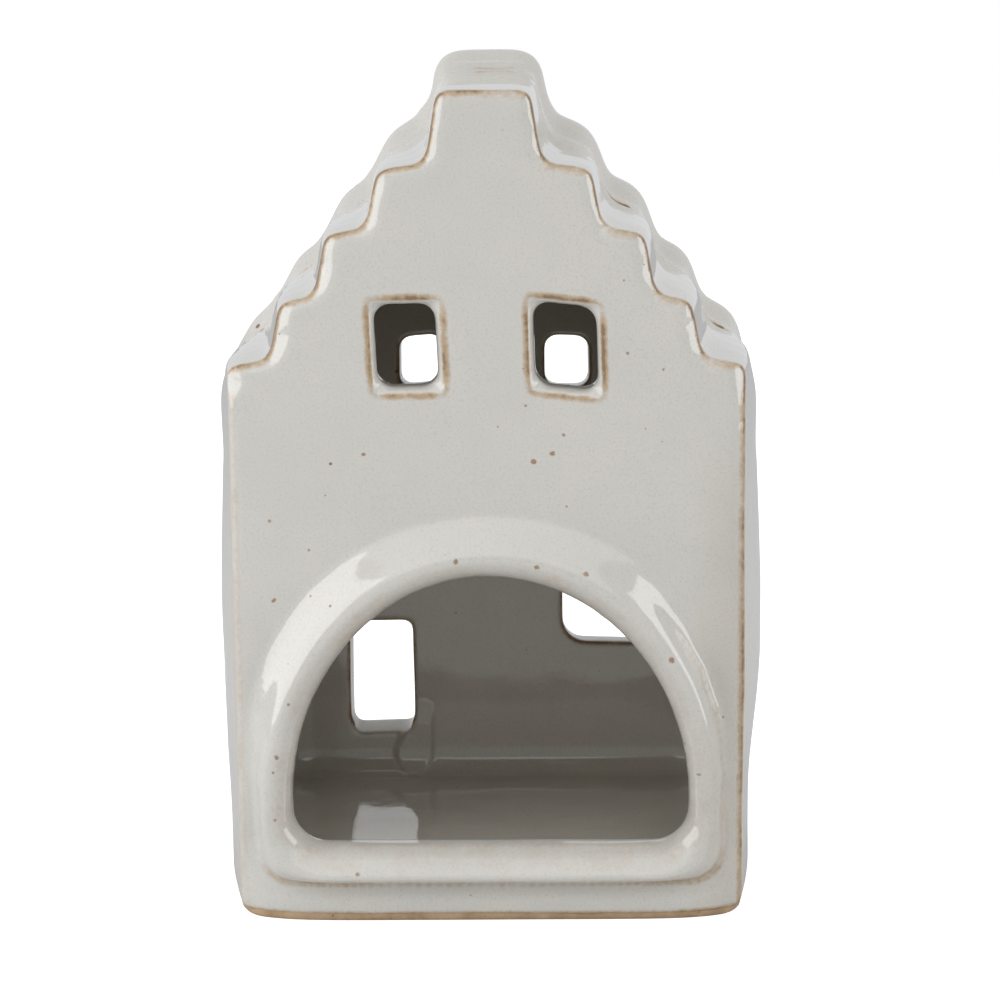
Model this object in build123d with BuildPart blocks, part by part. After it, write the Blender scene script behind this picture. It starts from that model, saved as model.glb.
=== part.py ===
from build123d import *
from math import atan2, degrees
import os

os.makedirs("parts", exist_ok=True)

# A stoneware tealight house, put together from clay sections that meet face to face.
# Millimetres. +Z is up, the arched mouth faces -Y, and the origin is at the middle of the footprint.

# Overall sizes of the body
front_width = 86.0
body_depth = 55.0
ridge_height = 142.2
ridge_width = 15.4
eave_height = 96.3
wall = 5.5
foot_height = 1.7
floor_top = 10.0

# Stepped gable: where each tread's outer corner lies between the ridge and the eaves
step_run_shares = (0.0, 0.280, 0.527, 0.745, 1.0)
step_drop_shares = (0.0, 0.282, 0.516, 0.764, 1.0)
riser_lean = 1.9
tread_fall = 1.1
tread_sag = 1.6
step_round = 1.4

# The side walls bow out between the gables, most at mid height
wall_bow = 3.9
eave_bow_share = 0.6
foot_bow_share = 0.8

# Arched mouth and the rolled rim around it
mouth_width = 67.6
mouth_sill = 14.2
mouth_spring = 21.0
mouth_top = 60.3
mouth_corner_share = 0.88
mouth_crown_share = 1.07
rim_width = 7.8
rim_proud = 5.0
rim_round_share = 0.97

# Windows of the front gable
window_width = 10.2
window_height = 14.2
window_spacing = 26.4
window_middle = 99.7
window_corner = 2.2
window_bevel = 0.9
edge_round = 1.1

# Window holes of the back gable: an upper pair, a low one on the left and a wide one on the right
upper_hole_width = 7.6
upper_hole_height = 9.0
upper_hole_spacing = 27.0
upper_hole_middle = 87.1
low_hole_width = 11.4
low_hole_height = 19.8
low_hole_across = 20.0
low_hole_middle = 28.8
wide_hole_width = 17.0
wide_hole_height = 17.0
wide_hole_across = 20.9
wide_hole_middle = 43.5
hole_corner = 2.2

# Bare ring under the walls
foot_inset = 0.7
foot_width = 8.0

# Places that follow from the sizes
front_half = front_width / 2
ridge_half = ridge_width / 2
mouth_half = mouth_width / 2
rim_round = min(rim_width / 2, rim_proud) * rim_round_share
total_depth = body_depth + rim_proud
front_face = rim_proud - total_depth / 2
back_face = total_depth / 2
front_inside = front_face + wall
back_inside = back_face - wall
middle = (front_inside + back_inside) / 2
stations = (front_inside, middle, back_inside)
last = len(step_run_shares) - 1


def hump(position, start, end):
    """A smooth rise from zero at both ends to one half way between them."""
    share = (position - start) / (end - start)
    return max(4 * share * (1 - share), 0)


def spread(y, bow_share):
    """How much wider the half width is at depth y than at the front face."""
    return wall_bow * bow_share * hump(y, front_face, back_face)


def roof_point(x, z, y):
    """A corner of the front outline, carried back to depth y."""
    wider = spread(y, eave_bow_share) * x / front_half
    return (x + wider, z - tread_sag * hump(y, front_inside, back_inside))


def outer_corner(step, y):
    """The outer corner of a tread, counted from the ridge down to the eaves."""
    x = ridge_half + (front_half - ridge_half) * step_run_shares[step]
    z = ridge_height - (ridge_height - eave_height) * step_drop_shares[step]
    return roof_point(x, z, y)


def inner_corner(step, y):
    """The corner where a riser meets the tread below it."""
    x = ridge_half + (front_half - ridge_half) * step_run_shares[step] + riser_lean
    z = ridge_height - (ridge_height - eave_height) * step_drop_shares[step + 1] + tread_fall
    return roof_point(x, z, y)


def inside(point):
    """The same corner on the inner face of the shell."""
    return (point[0] - wall, point[1] - wall)


def wall_foot(y):
    """The lower outer corner of a side wall."""
    return (front_half + spread(y, foot_bow_share), foot_height)


def wall_bend(top, bottom, y):
    """The point that bends a wall's edge, so that it reaches the full bow at mid height."""
    belly = bottom[0] + spread(y, 1) - spread(y, foot_bow_share)
    return (2 * belly - (top[0] + bottom[0]) / 2, (top[1] + bottom[1]) / 2)


def sided(side, *points):
    """Points of the right half, or their mirror image for the left."""
    return [(side * x, z) for x, z in points]


def section_plane(y):
    """An upright plane across the house at depth y."""
    return Plane.XZ.offset(-y)


def gable_section(y):
    """The whole stepped outline at depth y, with its outer corners rounded."""
    corners = []
    for step in range(last):
        corners += [outer_corner(step, y), inner_corner(step, y)]
    corners.append(outer_corner(last, y))
    foot = wall_foot(y)
    bend = wall_bend(corners[-1], foot, y)
    with BuildSketch(section_plane(y)) as section:
        with BuildLine():
            Polyline(*sided(-1, *reversed(corners)), *corners)
            for side in (-1, 1):
                Bezier(*sided(side, corners[-1], bend, foot))
            Line(*sided(-1, foot), foot)
        make_face()
        rounded = ShapeList()
        for side in (-1, 1):
            for corner in sided(side, *corners[0::2]):
                rounded.append(section.vertices().sort_by_distance((*corner, 0))[0])
        fillet(rounded, step_round)
    return section.sketch


def step_section(step, side, y):
    """A tread with the riser below it, as a bent slab of one wall thickness."""
    upper = inner_corner(step - 1, y)
    corner = outer_corner(step, y)
    lower = inner_corner(step, y)
    outline = [upper, corner, lower, inside(lower), inside(corner), inside(upper)]
    with BuildSketch(section_plane(y)) as section:
        with BuildLine():
            Polyline(*sided(side, *outline), close=True)
        make_face()
        tip = sided(side, corner)[0]
        fillet(section.vertices().sort_by_distance((*tip, 0))[0], step_round)
    return section.sketch


def wall_section(side, y):
    """A side wall with the lowest tread on top of it."""
    upper = inner_corner(last - 1, y)
    corner = outer_corner(last, y)
    foot = wall_foot(y)
    inner_foot = (foot[0] - wall, foot_height)
    inner_floor = (foot[0] - wall, floor_top)
    with BuildSketch(section_plane(y)) as section:
        with BuildLine():
            Polyline(*sided(side, inside(corner), inside(upper), upper, corner))
            Bezier(*sided(side, corner, wall_bend(corner, foot, y), foot))
            Polyline(*sided(side, foot, inner_foot, inner_floor))
            inner_bend = wall_bend(inside(corner), inner_floor, y)
            Bezier(*sided(side, inner_floor, inner_bend, inside(corner)))
        make_face()
        tip = sided(side, corner)[0]
        fillet(section.vertices().sort_by_distance((*tip, 0))[0], step_round)
    return section.sketch


def ridge_section(y):
    """The top tread with a riser on each side."""
    corner = outer_corner(0, y)
    lower = inner_corner(0, y)
    half = [inside(corner), inside(lower), lower, corner]
    with BuildSketch(section_plane(y)) as section:
        with BuildLine():
            Polyline(*half, *sided(-1, *reversed(half)), close=True)
        make_face()
        rounded = ShapeList()
        for tip in sided(1, corner) + sided(-1, corner):
            rounded.append(section.vertices().sort_by_distance((*tip, 0))[0])
        fillet(rounded, step_round)
    return section.sketch


def mouth_sketch(margin):
    """The arch, grown by a margin: a crown between two shoulders, short legs and rounded lower corners."""
    rise = mouth_top - mouth_spring
    crown_radius = mouth_crown_share * mouth_half**2 / rise
    shoulder_radius = mouth_half**2 + (rise - crown_radius) ** 2 - crown_radius**2
    shoulder_radius /= 2 * (mouth_half - crown_radius)
    shoulder = degrees(atan2(abs(rise - crown_radius), abs(shoulder_radius - mouth_half)))
    corner_radius = (mouth_spring - mouth_sill) * mouth_corner_share
    corner_start = mouth_sill + corner_radius
    corner_end = mouth_half - corner_radius
    with BuildSketch(section_plane(front_face)) as arch:
        with BuildLine():
            right = JernArc((mouth_half, mouth_spring), (0, 1), shoulder_radius, shoulder)
            crown = JernArc(right @ 1, right % 1, crown_radius, 180 - 2 * shoulder)
            left = JernArc(crown @ 1, crown % 1, shoulder_radius, shoulder)
            left_leg = Line(left @ 1, (-mouth_half, corner_start))
            left_corner = JernArc(left_leg @ 1, (0, -1), corner_radius, 90)
            sill = Line(left_corner @ 1, (corner_end, mouth_sill))
            right_corner = JernArc(sill @ 1, (1, 0), corner_radius, 90)
            Line(right_corner @ 1, right @ 0)
        make_face()
        if margin:
            offset(amount=margin)
    return arch.sketch


# Front slab with the arched mouth and two bevelled windows
with BuildPart() as front_gable:
    loft([gable_section(front_face), gable_section(front_inside)], ruled=True)
    front = front_gable.faces().sort_by(Axis.Y)[0]
    fillet(front.outer_wire().edges(), edge_round)
    with BuildSketch(section_plane(front_face)):
        with Locations((0, window_middle)):
            with GridLocations(window_spacing, 0, 2, 1):
                RectangleRounded(window_width, window_height, window_corner)
    extrude(amount=-wall, mode=Mode.SUBTRACT)
    front = front_gable.faces().sort_by(Axis.Y)[0]
    chamfer(front.inner_wires().edges(), window_bevel)
    extrude(mouth_sketch(0), amount=-wall, mode=Mode.SUBTRACT)
front_gable.part.label = "front_gable"
export_step(front_gable.part, "parts/front_gable.step")

# Back slab with four window holes
with BuildPart() as back_gable:
    loft([gable_section(back_inside), gable_section(back_face)], ruled=True)
    back = back_gable.faces().sort_by(Axis.Y)[-1]
    fillet(back.outer_wire().edges(), edge_round)
    with BuildSketch(section_plane(back_face)):
        with Locations((0, upper_hole_middle)):
            with GridLocations(upper_hole_spacing, 0, 2, 1):
                RectangleRounded(upper_hole_width, upper_hole_height, hole_corner)
        with Locations((-low_hole_across, low_hole_middle)):
            RectangleRounded(low_hole_width, low_hole_height, hole_corner)
        with Locations((wide_hole_across, wide_hole_middle)):
            RectangleRounded(wide_hole_width, wide_hole_height, hole_corner)
    extrude(amount=wall, mode=Mode.SUBTRACT)
    back = back_gable.faces().sort_by(Axis.Y)[-1]
    chamfer(back.inner_wires().edges(), window_bevel)
back_gable.part.label = "back_gable"
export_step(back_gable.part, "parts/back_gable.step")

# Side walls and the three middle steps on each side of the roof
for side_name, side in (("left", -1), ("right", 1)):
    with BuildPart() as side_wall:
        loft([wall_section(side, y) for y in stations])
    side_wall.part.label = f"{side_name}_wall"
    export_step(side_wall.part, f"parts/{side_name}_wall.step")

    for step in range(1, last):
        with BuildPart() as roof_step:
            loft([step_section(step, side, y) for y in stations])
        roof_step.part.label = f"{side_name}_step_{step}"
        export_step(roof_step.part, f"parts/{side_name}_step_{step}.step")

# Cap over the ridge
with BuildPart() as ridge_cap:
    loft([ridge_section(y) for y in stations])
ridge_cap.part.label = "ridge_cap"
export_step(ridge_cap.part, "parts/ridge_cap.step")

# Floor between the four walls
with BuildPart() as floor_slab:
    for y in stations:
        floor_half = wall_foot(y)[0] - wall
        with BuildSketch(section_plane(y)):
            with BuildLine():
                edge = [(floor_half, foot_height), (floor_half, floor_top)]
                Polyline(*edge, *sided(-1, *reversed(edge)), close=True)
            make_face()
    loft()
floor_slab.part.label = "floor_slab"
export_step(floor_slab.part, "parts/floor_slab.step")

# Rolled rim on the front face, around the mouth
with BuildPart() as arch_rim:
    extrude(mouth_sketch(rim_width), amount=rim_proud)
    extrude(mouth_sketch(0), amount=rim_proud, mode=Mode.SUBTRACT)
    fillet(arch_rim.faces().sort_by(Axis.Y)[0].edges(), rim_round)
arch_rim.part.label = "arch_rim"
export_step(arch_rim.part, "parts/arch_rim.step")

# Bare ring under the walls, a little smaller than the body
with BuildPart() as foot_ring:
    with BuildSketch(Plane.XY):
        with BuildLine():
            for side in (-1, 1):
                corners = [(side * wall_foot(y)[0], y) for y in (front_face, middle, back_face)]
                ThreePointArc(*corners)
            for y in (front_face, back_face):
                Line((-wall_foot(y)[0], y), (wall_foot(y)[0], y))
        make_face()
        offset(amount=-foot_inset, kind=Kind.INTERSECTION)
        offset(amount=-foot_width, kind=Kind.INTERSECTION, mode=Mode.SUBTRACT)
    extrude(amount=foot_height)
foot_ring.part.label = "foot_ring"
export_step(foot_ring.part, "parts/foot_ring.step")
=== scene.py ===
# A stoneware tealight house: one hand-built body under a glossy grey glaze, on a bare clay foot.
# The body is modelled whole, so that the glaze runs over it unbroken, and then parted at the
# joints of the clay sections. Metres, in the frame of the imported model.
import bpy
import numpy as np
from math import cos, radians, sin
from mathutils import Matrix, Vector
from mathutils.kdtree import KDTree


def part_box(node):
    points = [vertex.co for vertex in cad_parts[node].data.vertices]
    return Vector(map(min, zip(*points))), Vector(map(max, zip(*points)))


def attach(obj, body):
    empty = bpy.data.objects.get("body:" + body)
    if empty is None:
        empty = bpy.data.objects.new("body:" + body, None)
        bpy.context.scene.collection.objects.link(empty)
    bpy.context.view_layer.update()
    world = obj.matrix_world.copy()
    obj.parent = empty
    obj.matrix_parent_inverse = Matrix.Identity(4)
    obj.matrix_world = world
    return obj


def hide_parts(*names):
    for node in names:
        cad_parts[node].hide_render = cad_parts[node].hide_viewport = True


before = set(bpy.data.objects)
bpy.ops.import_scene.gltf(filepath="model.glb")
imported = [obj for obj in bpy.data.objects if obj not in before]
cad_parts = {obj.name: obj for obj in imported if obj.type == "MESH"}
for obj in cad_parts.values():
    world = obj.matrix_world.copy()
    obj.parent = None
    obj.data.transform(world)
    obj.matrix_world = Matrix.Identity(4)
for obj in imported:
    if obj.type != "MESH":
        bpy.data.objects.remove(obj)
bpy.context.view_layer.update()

MM = 0.001

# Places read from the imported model
FRONT_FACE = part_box("front_gable")[0].y
FRONT_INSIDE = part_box("front_gable")[1].y
BACK_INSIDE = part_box("back_gable")[0].y
BACK_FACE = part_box("back_gable")[1].y
RIDGE_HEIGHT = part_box("ridge_cap")[1].z
FOOT_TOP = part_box("floor_slab")[0].z
FLOOR_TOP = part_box("floor_slab")[1].z
RIM_PROUD = FRONT_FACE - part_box("arch_rim")[0].y
WALL = FRONT_INSIDE - FRONT_FACE

# The stepped outline, as in the part's source
FRONT_HALF = 43.0 * MM
RIDGE_HALF = 7.7 * MM
EAVE_HEIGHT = 96.3 * MM
STEP_RUN_SHARES = (0.0, 0.280, 0.527, 0.745, 1.0)
STEP_DROP_SHARES = (0.0, 0.282, 0.516, 0.764, 1.0)
RISER_LEAN = 1.9 * MM
TREAD_FALL = 1.1 * MM
TREAD_SAG = 1.7 * MM
BACK_RISE = 1.3 * MM
STEP_ROUND = 1.9 * MM
MELT_LEFT = 0.62
MELT_RIGHT = 0.32
WALL_BOW = 3.9 * MM
EAVE_BOW_SHARE = 0.6
FOOT_BOW_SHARE = 0.8
EDGE_CUT = 1.5 * MM
EDGE_SLOPE = 0.75
PLINTH_SWELL = 4.2 * MM

# Chamber and mouth
CHAMBER_ROUND = 4.2 * MM
MOUTH_HALF = 33.8 * MM
MOUTH_SILL = 13.3 * MM
MOUTH_SPRING = 21.0 * MM
MOUTH_TOP = 60.3 * MM
MOUTH_CORNER = 6.0 * MM
MOUTH_FLARE = 3.4 * MM
ARC_HANDLE = 0.5523

# Outer edge of the rolled rim: crisp at the right and below, blended wide at the left and above
RIM_HALF = 40.0 * MM
RIM_SILL = 7.0 * MM
RIM_SPRING = 24.0 * MM
RIM_TOP = 69.4 * MM
RIM_CORNER = 5.5 * MM
RIM_CREST = 4.3 * MM
RIM_JOINT = 2.2 * MM
BLEND_HALF = 41.6 * MM
BLEND_TOP = 70.6 * MM
BLEND_HANDLE = 0.62

# Openings: across, height of the middle, width, height, rise of the level edges towards the right,
# lean of the upright edges towards the right, corner
FRONT_WINDOWS = (
    (-13.2 * MM, 99.65 * MM, 10.3 * MM, 14.2 * MM, 0.01, -0.045, 2.6 * MM),
    (13.2 * MM, 99.3 * MM, 10.3 * MM, 14.2 * MM, -0.12, -0.03, 2.6 * MM),
)
BACK_HOLES = (
    (-12.5 * MM, 87.6 * MM, 7.6 * MM, 9.3 * MM, 0.08, 0.0, 2.0 * MM),
    (13.5 * MM, 87.3 * MM, 7.6 * MM, 9.2 * MM, -0.03, 0.0, 2.0 * MM),
    (-20.2 * MM, 28.8 * MM, 11.3 * MM, 19.8 * MM, 0.03, 0.0, 1.7 * MM),
    (20.9 * MM, 43.0 * MM, 17.0 * MM, 17.0 * MM, -0.03, 0.0, 4.0 * MM),
)
WINDOW_FLARE = 0.8 * MM
WINDOW_FLARE_DEPTH = 1.2 * MM
THIN_BAND = 1.7 * MM
HOLE_FLARE = 0.8 * MM
HOLE_FLARE_DEPTH = 1.0 * MM
SILL_DROP = 1.6 * MM

# Creases in the roof in front of the back gable: across, place from front to back, half length,
# half width, how deep
ROOF_CREASES = (
    (1.1 * MM, 21.0 * MM, 5.2 * MM, 0.9 * MM, 0.35 * MM),
    (21.9 * MM, 14.5 * MM, 3.1 * MM, 2.6 * MM, 2.3 * MM),
    (38.1 * MM, 16.0 * MM, 3.3 * MM, 2.6 * MM, 2.3 * MM),
    (-23.6 * MM, 15.0 * MM, 2.6 * MM, 1.8 * MM, 1.4 * MM),
    (-31.0 * MM, 19.0 * MM, 2.3 * MM, 1.8 * MM, 1.8 * MM),
)

# Foot
BODY_FOOT = 1.1 * MM
BODY_FOOT_ROUND = 0.7 * MM
FOOT_INSET = 0.35 * MM
FOOT_WIDTH = 8.0 * MM
FOOT_CORNER = 3.0 * MM
FOOT_ROUND = 0.4 * MM
FOOT_OVERLAP = 0.6 * MM
FLOOR_MITRE = 49.0 * MM

# The gables are parted from the walls this far inside their inner faces
SEAM_CLEAR = 2.0 * MM

# Surface of the clay
FIRST_GRAIN = 0.55 * MM
CLAY_GRAIN = 0.48 * MM
FOOT_GRAIN = 0.4 * MM
WAVE_LENGTH = 26 * MM
WAVE_HEIGHT = 0.55 * MM

# Thin glaze along the front edges, on the left and on the right: how thin, then where the band
# starts and ends and how soft its ends are, in mm across the edge
RISER_BANDS = ((0.36, -0.3, 1.8, 0.25), (0.37, -0.2, 2.2, 0.2))
WALL_BANDS = ((0.07, -1.2, 0.8, 0.8), (0.30, -0.45, 1.4, 0.5))
TREAD_BANDS = ((0.27, -0.55, 0.9, 0.5), (0.19, -0.9, 1.0, 0.8))

# Colours of the glaze, from thick to thin, and of its specks; the thin, tan and brown also paint shade
# into the creases
GLAZE_COOL = (0.606, 0.594, 0.558, 1)
GLAZE_WARM = (0.640, 0.618, 0.574, 1)
GLAZE_GRAIN = (0.535, 0.512, 0.468, 1)
# Tint for painted shade in the chamber, on the left wall and at the front's right edge
PAINTED_SHADE_TINT = (0.770, 0.730, 0.672, 1)
GLAZE_THIN = (0.545, 0.478, 0.400, 1)
GLAZE_TAN = (0.455, 0.335, 0.205, 1)
GLAZE_BROWN = (0.245, 0.160, 0.090, 1)
CLAY_TAN = (0.490, 0.350, 0.220, 1)
CLAY_DARK = (0.360, 0.245, 0.140, 1)
SPECK_BROWN = (0.230, 0.120, 0.060, 1)
SPECK_TAN = (0.400, 0.290, 0.190, 1)
SPOT_BROWN = (0.330, 0.225, 0.145, 1)

# Camera, fitted to the photograph: place in metres, angles in radians, focal length in mm
CAMERA_PLACE = (0.01067, -0.58467, 0.20756)
CAMERA_PITCH = 0.235201539
CAMERA_YAW = -0.0152511681
CAMERA_ROLL = -0.00998809
CAMERA_LENS = 123.43

# Studio: the light of the surroundings before and behind the house, the floor, and the lamps as
# name, place, width, height and power
SKY = (0.98, 0.99, 1, 1)
SKY_BEFORE = 0.47
SKY_BEHIND = 0.70
WHITE = (1, 1, 1, 1)
FLOOR_SIZE = 1.7
FLOOR_GREY = (0.71, 0.71, 0.71, 1)
FLOOR_GLOW = 0.85
LAMP_TARGET = (0, 0, 0.18)
SOFTBOXES = (
    ("left_softbox", (-0.38, -0.183, 0.21), 0.38, 0.37, 1.015),
    ("right_softbox", (0.43, -0.18, 0.19), 0.20, 0.36, 0.565),
    ("top_softbox", (0, -0.62, 1.0), 1.6, 1.2, 4.1),
)

# Larger iron spots on the front: across, height, radius
IRON_SPOTS = (
    (23.5 * MM, 98.3 * MM, 0.42 * MM),
    (29.5 * MM, 95.6 * MM, 0.26 * MM),
    (1.9 * MM, 86.0 * MM, 0.36 * MM),
    (12.9 * MM, 84.5 * MM, 0.36 * MM),
    (10.9 * MM, 81.3 * MM, 0.48 * MM),
    (-20.5 * MM, 81.4 * MM, 0.42 * MM),
    (7.9 * MM, 80.0 * MM, 0.52 * MM),
    (-5.3 * MM, 64.0 * MM, 0.50 * MM),
    (8.3 * MM, 62.9 * MM, 0.54 * MM),
    (16.5 * MM, 61.6 * MM, 0.48 * MM),
    (-36.3 * MM, 56.3 * MM, 0.48 * MM),
    (30.8 * MM, 46.7 * MM, 0.60 * MM),
    (-34.0 * MM, 39.3 * MM, 0.32 * MM),
    (-36.1 * MM, 29.9 * MM, 0.42 * MM),
    (35.5 * MM, 26.2 * MM, 0.38 * MM),
    (-36.7 * MM, 18.7 * MM, 0.28 * MM),
    (-22.7 * MM, 9.5 * MM, 0.35 * MM),
    (-4.5 * MM, 7.7 * MM, 0.45 * MM),
)


def only(piece):
    """Makes one object the only selected one and the active one."""
    bpy.ops.object.select_all(action="DESELECT")
    piece.select_set(True)
    bpy.context.view_layer.objects.active = piece


def pick(piece, kind, wanted):
    """Selects the edges or faces that pass a test, and stays in edit mode."""
    only(piece)
    bpy.ops.object.mode_set(mode="EDIT")
    bpy.ops.mesh.select_mode(type=kind)
    bpy.ops.mesh.select_all(action="DESELECT")
    bpy.ops.object.mode_set(mode="OBJECT")
    mesh = piece.data
    if kind == "EDGE":
        for edge in mesh.edges:
            start, end = (mesh.vertices[index].co for index in edge.vertices)
            edge.select = wanted(start, end)
    else:
        for face in mesh.polygons:
            face.select = wanted(face)
    bpy.ops.object.mode_set(mode="EDIT")


def back_to_object():
    bpy.ops.object.mode_set(mode="OBJECT")


def add_block(name, low, high):
    """A box between two corners, with its place in its mesh."""
    low, high = Vector(low), Vector(high)
    bpy.ops.object.select_all(action="DESELECT")
    bpy.ops.mesh.primitive_cube_add(size=1, location=(low + high) / 2, scale=high - low)
    block = bpy.context.object
    block.name = name
    bpy.ops.object.transform_apply(location=True, rotation=True, scale=True)
    return block


def add_modifier(piece, kind, **settings):
    only(piece)
    bpy.ops.object.modifier_add(type=kind)
    modifier = piece.modifiers[-1]
    for setting, value in settings.items():
        setattr(modifier, setting, value)
    bpy.ops.object.modifier_apply(modifier=modifier.name)


def combine(piece, tool, operation):
    """Joins a tool to a piece, or cuts it out, and throws the tool away."""
    add_modifier(piece, "BOOLEAN", operation=operation, object=tool, solver="MANIFOLD")
    bpy.data.objects.remove(tool)


def copy_of(piece, name):
    only(piece)
    bpy.ops.object.duplicate()
    twin = bpy.context.object
    twin.name = name
    return twin


def same(first, second):
    return abs(first - second) < 0.01 * MM


def smooth_rise(value, start, end):
    """Rises smoothly from 0 at start to 1 at end."""
    share = np.clip((value - start) / (end - start), 0, 1)
    return share * share * (3 - 2 * share)


def points_of(piece):
    mesh = piece.data
    points = np.empty(len(mesh.vertices) * 3)
    mesh.vertices.foreach_get("co", points)
    return points.reshape(-1, 3)


def move_points(piece, points):
    piece.data.vertices.foreach_set("co", points.ravel())
    piece.data.update()


def step_corners():
    """Half width and height of each corner of the gable, from the eaves up to the ridge."""
    tips = []
    for run, drop in zip(STEP_RUN_SHARES, STEP_DROP_SHARES):
        half = RIDGE_HALF + (FRONT_HALF - RIDGE_HALF) * run
        tips.append((half, RIDGE_HEIGHT - (RIDGE_HEIGHT - EAVE_HEIGHT) * drop))
    corners = [tips[-1]]
    for upper, lower in zip(reversed(tips[:-1]), reversed(tips[1:])):
        corners.append((upper[0] + RISER_LEAN, lower[1] + TREAD_FALL))
        corners.append(upper)
    return corners


def stepped_block(name, inset, bottom, near, far):
    """A block with the stepped outline of the gable, made smaller by an inset."""
    corners = [(half - inset, height - inset) for half, height in step_corners()]
    half, height = corners[0]
    block = add_block(name, (-half, near, bottom), (half, far, height))
    pick(block, "FACE", lambda face: face.normal.z > 0.9)
    for next_half, next_height in corners[1:]:
        lift = {"value": (0, 0, next_height - height)}
        bpy.ops.mesh.extrude_region_move(TRANSFORM_OT_translate=lift)
        middle = (0, (near + far) / 2, next_height)
        bpy.ops.transform.resize(value=(next_half / half, 1, 1), center_override=middle)
        half, height = next_half, next_height
    bpy.ops.mesh.select_all(action="SELECT")
    bpy.ops.mesh.dissolve_limited(angle_limit=radians(0.5))
    bpy.ops.mesh.normals_make_consistent(inside=False)
    back_to_object()
    return block


def round_edges(block, wanted, radius, segments):
    pick(block, "EDGE", wanted)
    bpy.ops.mesh.bevel(offset=radius, segments=segments, affect="EDGES", clamp_overlap=True)
    back_to_object()


def runs_back(start, end):
    """True for an edge that runs from front to back."""
    return same(start.x, end.x) and same(start.z, end.z)


def outer_block():
    block = stepped_block("body", 0, BODY_FOOT, FRONT_FACE, BACK_FACE)
    steps = lambda start, end: runs_back(start, end) and start.z > BODY_FOOT + MM
    round_edges(block, steps, STEP_ROUND, 4)
    foot = lambda start, end: runs_back(start, end) and same(start.z, BODY_FOOT)
    round_edges(block, foot, BODY_FOOT_ROUND, 4)
    return block


def chamber_block():
    block = stepped_block("chamber", WALL, FLOOR_TOP, FRONT_INSIDE, BACK_INSIDE)
    corners = lambda start, end: (
        (same(start.z, FLOOR_TOP) and same(end.z, FLOOR_TOP)
            and max(start.y, end.y) > FRONT_INSIDE + MM)
        or (same(start.y, end.y) and same(start.x, end.x) and abs(start.z - end.z) > 50 * MM)
    )
    round_edges(block, corners, CHAMBER_ROUND, 3)
    return block


def arch_points(half, top, sill, spring, corner, handle=ARC_HANDLE):
    """Points of an arched outline with the handles before and after each of them."""
    side = handle * (top - spring)
    crown = handle * half
    turn = ARC_HANDLE * corner
    leg = sill + corner
    third = (spring - leg) / 3
    base = (half - corner) / 3
    return (
        ((half, spring), (half, spring - third), (half, spring + side)),
        ((0, top), (crown, top), (-crown, top)),
        ((-half, spring), (-half, spring + side), (-half, spring - third)),
        ((-half, leg), (-half, leg + third), (-half, leg - turn)),
        ((-half + corner, sill), (-half + corner - turn, sill), (-half + corner + base, sill)),
        ((half - corner, sill), (half - corner - base, sill), (half - corner + turn, sill)),
        ((half, leg), (half, leg - turn), (half, leg + third)),
    )


def mouth_outline():
    return arch_points(MOUTH_HALF, MOUTH_TOP, MOUTH_SILL, MOUTH_SPRING, MOUTH_CORNER)


def rim_outline(growth=0):
    half, top, sill = RIM_HALF + growth, RIM_TOP + growth, RIM_SILL - growth
    return arch_points(half, top, sill, RIM_SPRING, RIM_CORNER + growth)


def blend_outline():
    return arch_points(BLEND_HALF, BLEND_TOP, RIM_SILL, RIM_SPRING, RIM_CORNER, BLEND_HANDLE)


def along_outline(points, count=48):
    """Places along an arched outline, evenly shared between its points."""
    share = np.linspace(0, 1, count, endpoint=False)[:, None]
    places = []
    for start, end in zip(points, points[1:] + points[:1]):
        handles = (start[0], start[2], end[1], end[0])
        first, leaving, arriving, last = (np.array(handle) for handle in handles)
        rest = 1 - share
        places.append(
            rest**3 * first
            + 3 * rest**2 * share * leaving
            + 3 * rest * share**2 * arriving
            + share**3 * last
        )
    return np.concatenate(places)


def arch_prism(name, points, near, far):
    """An arched outline as a solid from one depth to another."""
    bpy.ops.object.select_all(action="DESELECT")
    place = (0, (near + far) / 2, 0)
    bpy.ops.curve.primitive_bezier_circle_add(location=place, rotation=(radians(90), 0, 0))
    arch = bpy.context.object
    arch.name = name
    spline = arch.data.splines[0]
    spline.bezier_points.add(len(points) - len(spline.bezier_points))
    for bezier, (corner, before, after) in zip(spline.bezier_points, points):
        bezier.handle_left_type = "FREE"
        bezier.handle_right_type = "FREE"
        bezier.co = (*corner, 0)
        bezier.handle_left = (*before, 0)
        bezier.handle_right = (*after, 0)
    arch.data.resolution_u = 24
    arch.data.dimensions = "2D"
    arch.data.fill_mode = "BOTH"
    arch.data.extrude = (far - near) / 2
    bpy.ops.object.convert(target="MESH")
    bpy.ops.object.transform_apply(location=True, rotation=True, scale=True)
    prism = bpy.context.object
    bpy.ops.object.mode_set(mode="EDIT")
    bpy.ops.mesh.select_all(action="SELECT")
    bpy.ops.mesh.remove_doubles(threshold=0.001 * MM)
    bpy.ops.mesh.normals_make_consistent(inside=False)
    back_to_object()
    return prism


def flared_mouth():
    """The mouth behind the rim, which opens out towards the chamber."""
    flare = arch_prism("flare", mouth_outline(), FRONT_FACE + 1.2 * MM, FRONT_INSIDE + MM)
    points = points_of(flare)
    inner = points[:, 1] > FRONT_INSIDE
    middle = (MOUTH_SILL + MOUTH_TOP) / 2
    points[inner, 0] *= 1 + MOUTH_FLARE / MOUTH_HALF
    points[inner, 2] += (points[inner, 2] - middle) * 2 * MOUTH_FLARE / (MOUTH_TOP - MOUTH_SILL)
    move_points(flare, points)
    return flare


def nearest_gap(places, outline):
    """Distance from each place to the nearest of an outline's places."""
    gaps = np.empty(len(places))
    for start in range(0, len(places), 4000):
        part = places[start:start + 4000, None, :] - outline[None, :, :]
        gaps[start:start + 4000] = np.sqrt((part**2).sum(axis=2).min(axis=1))
    return gaps


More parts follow.
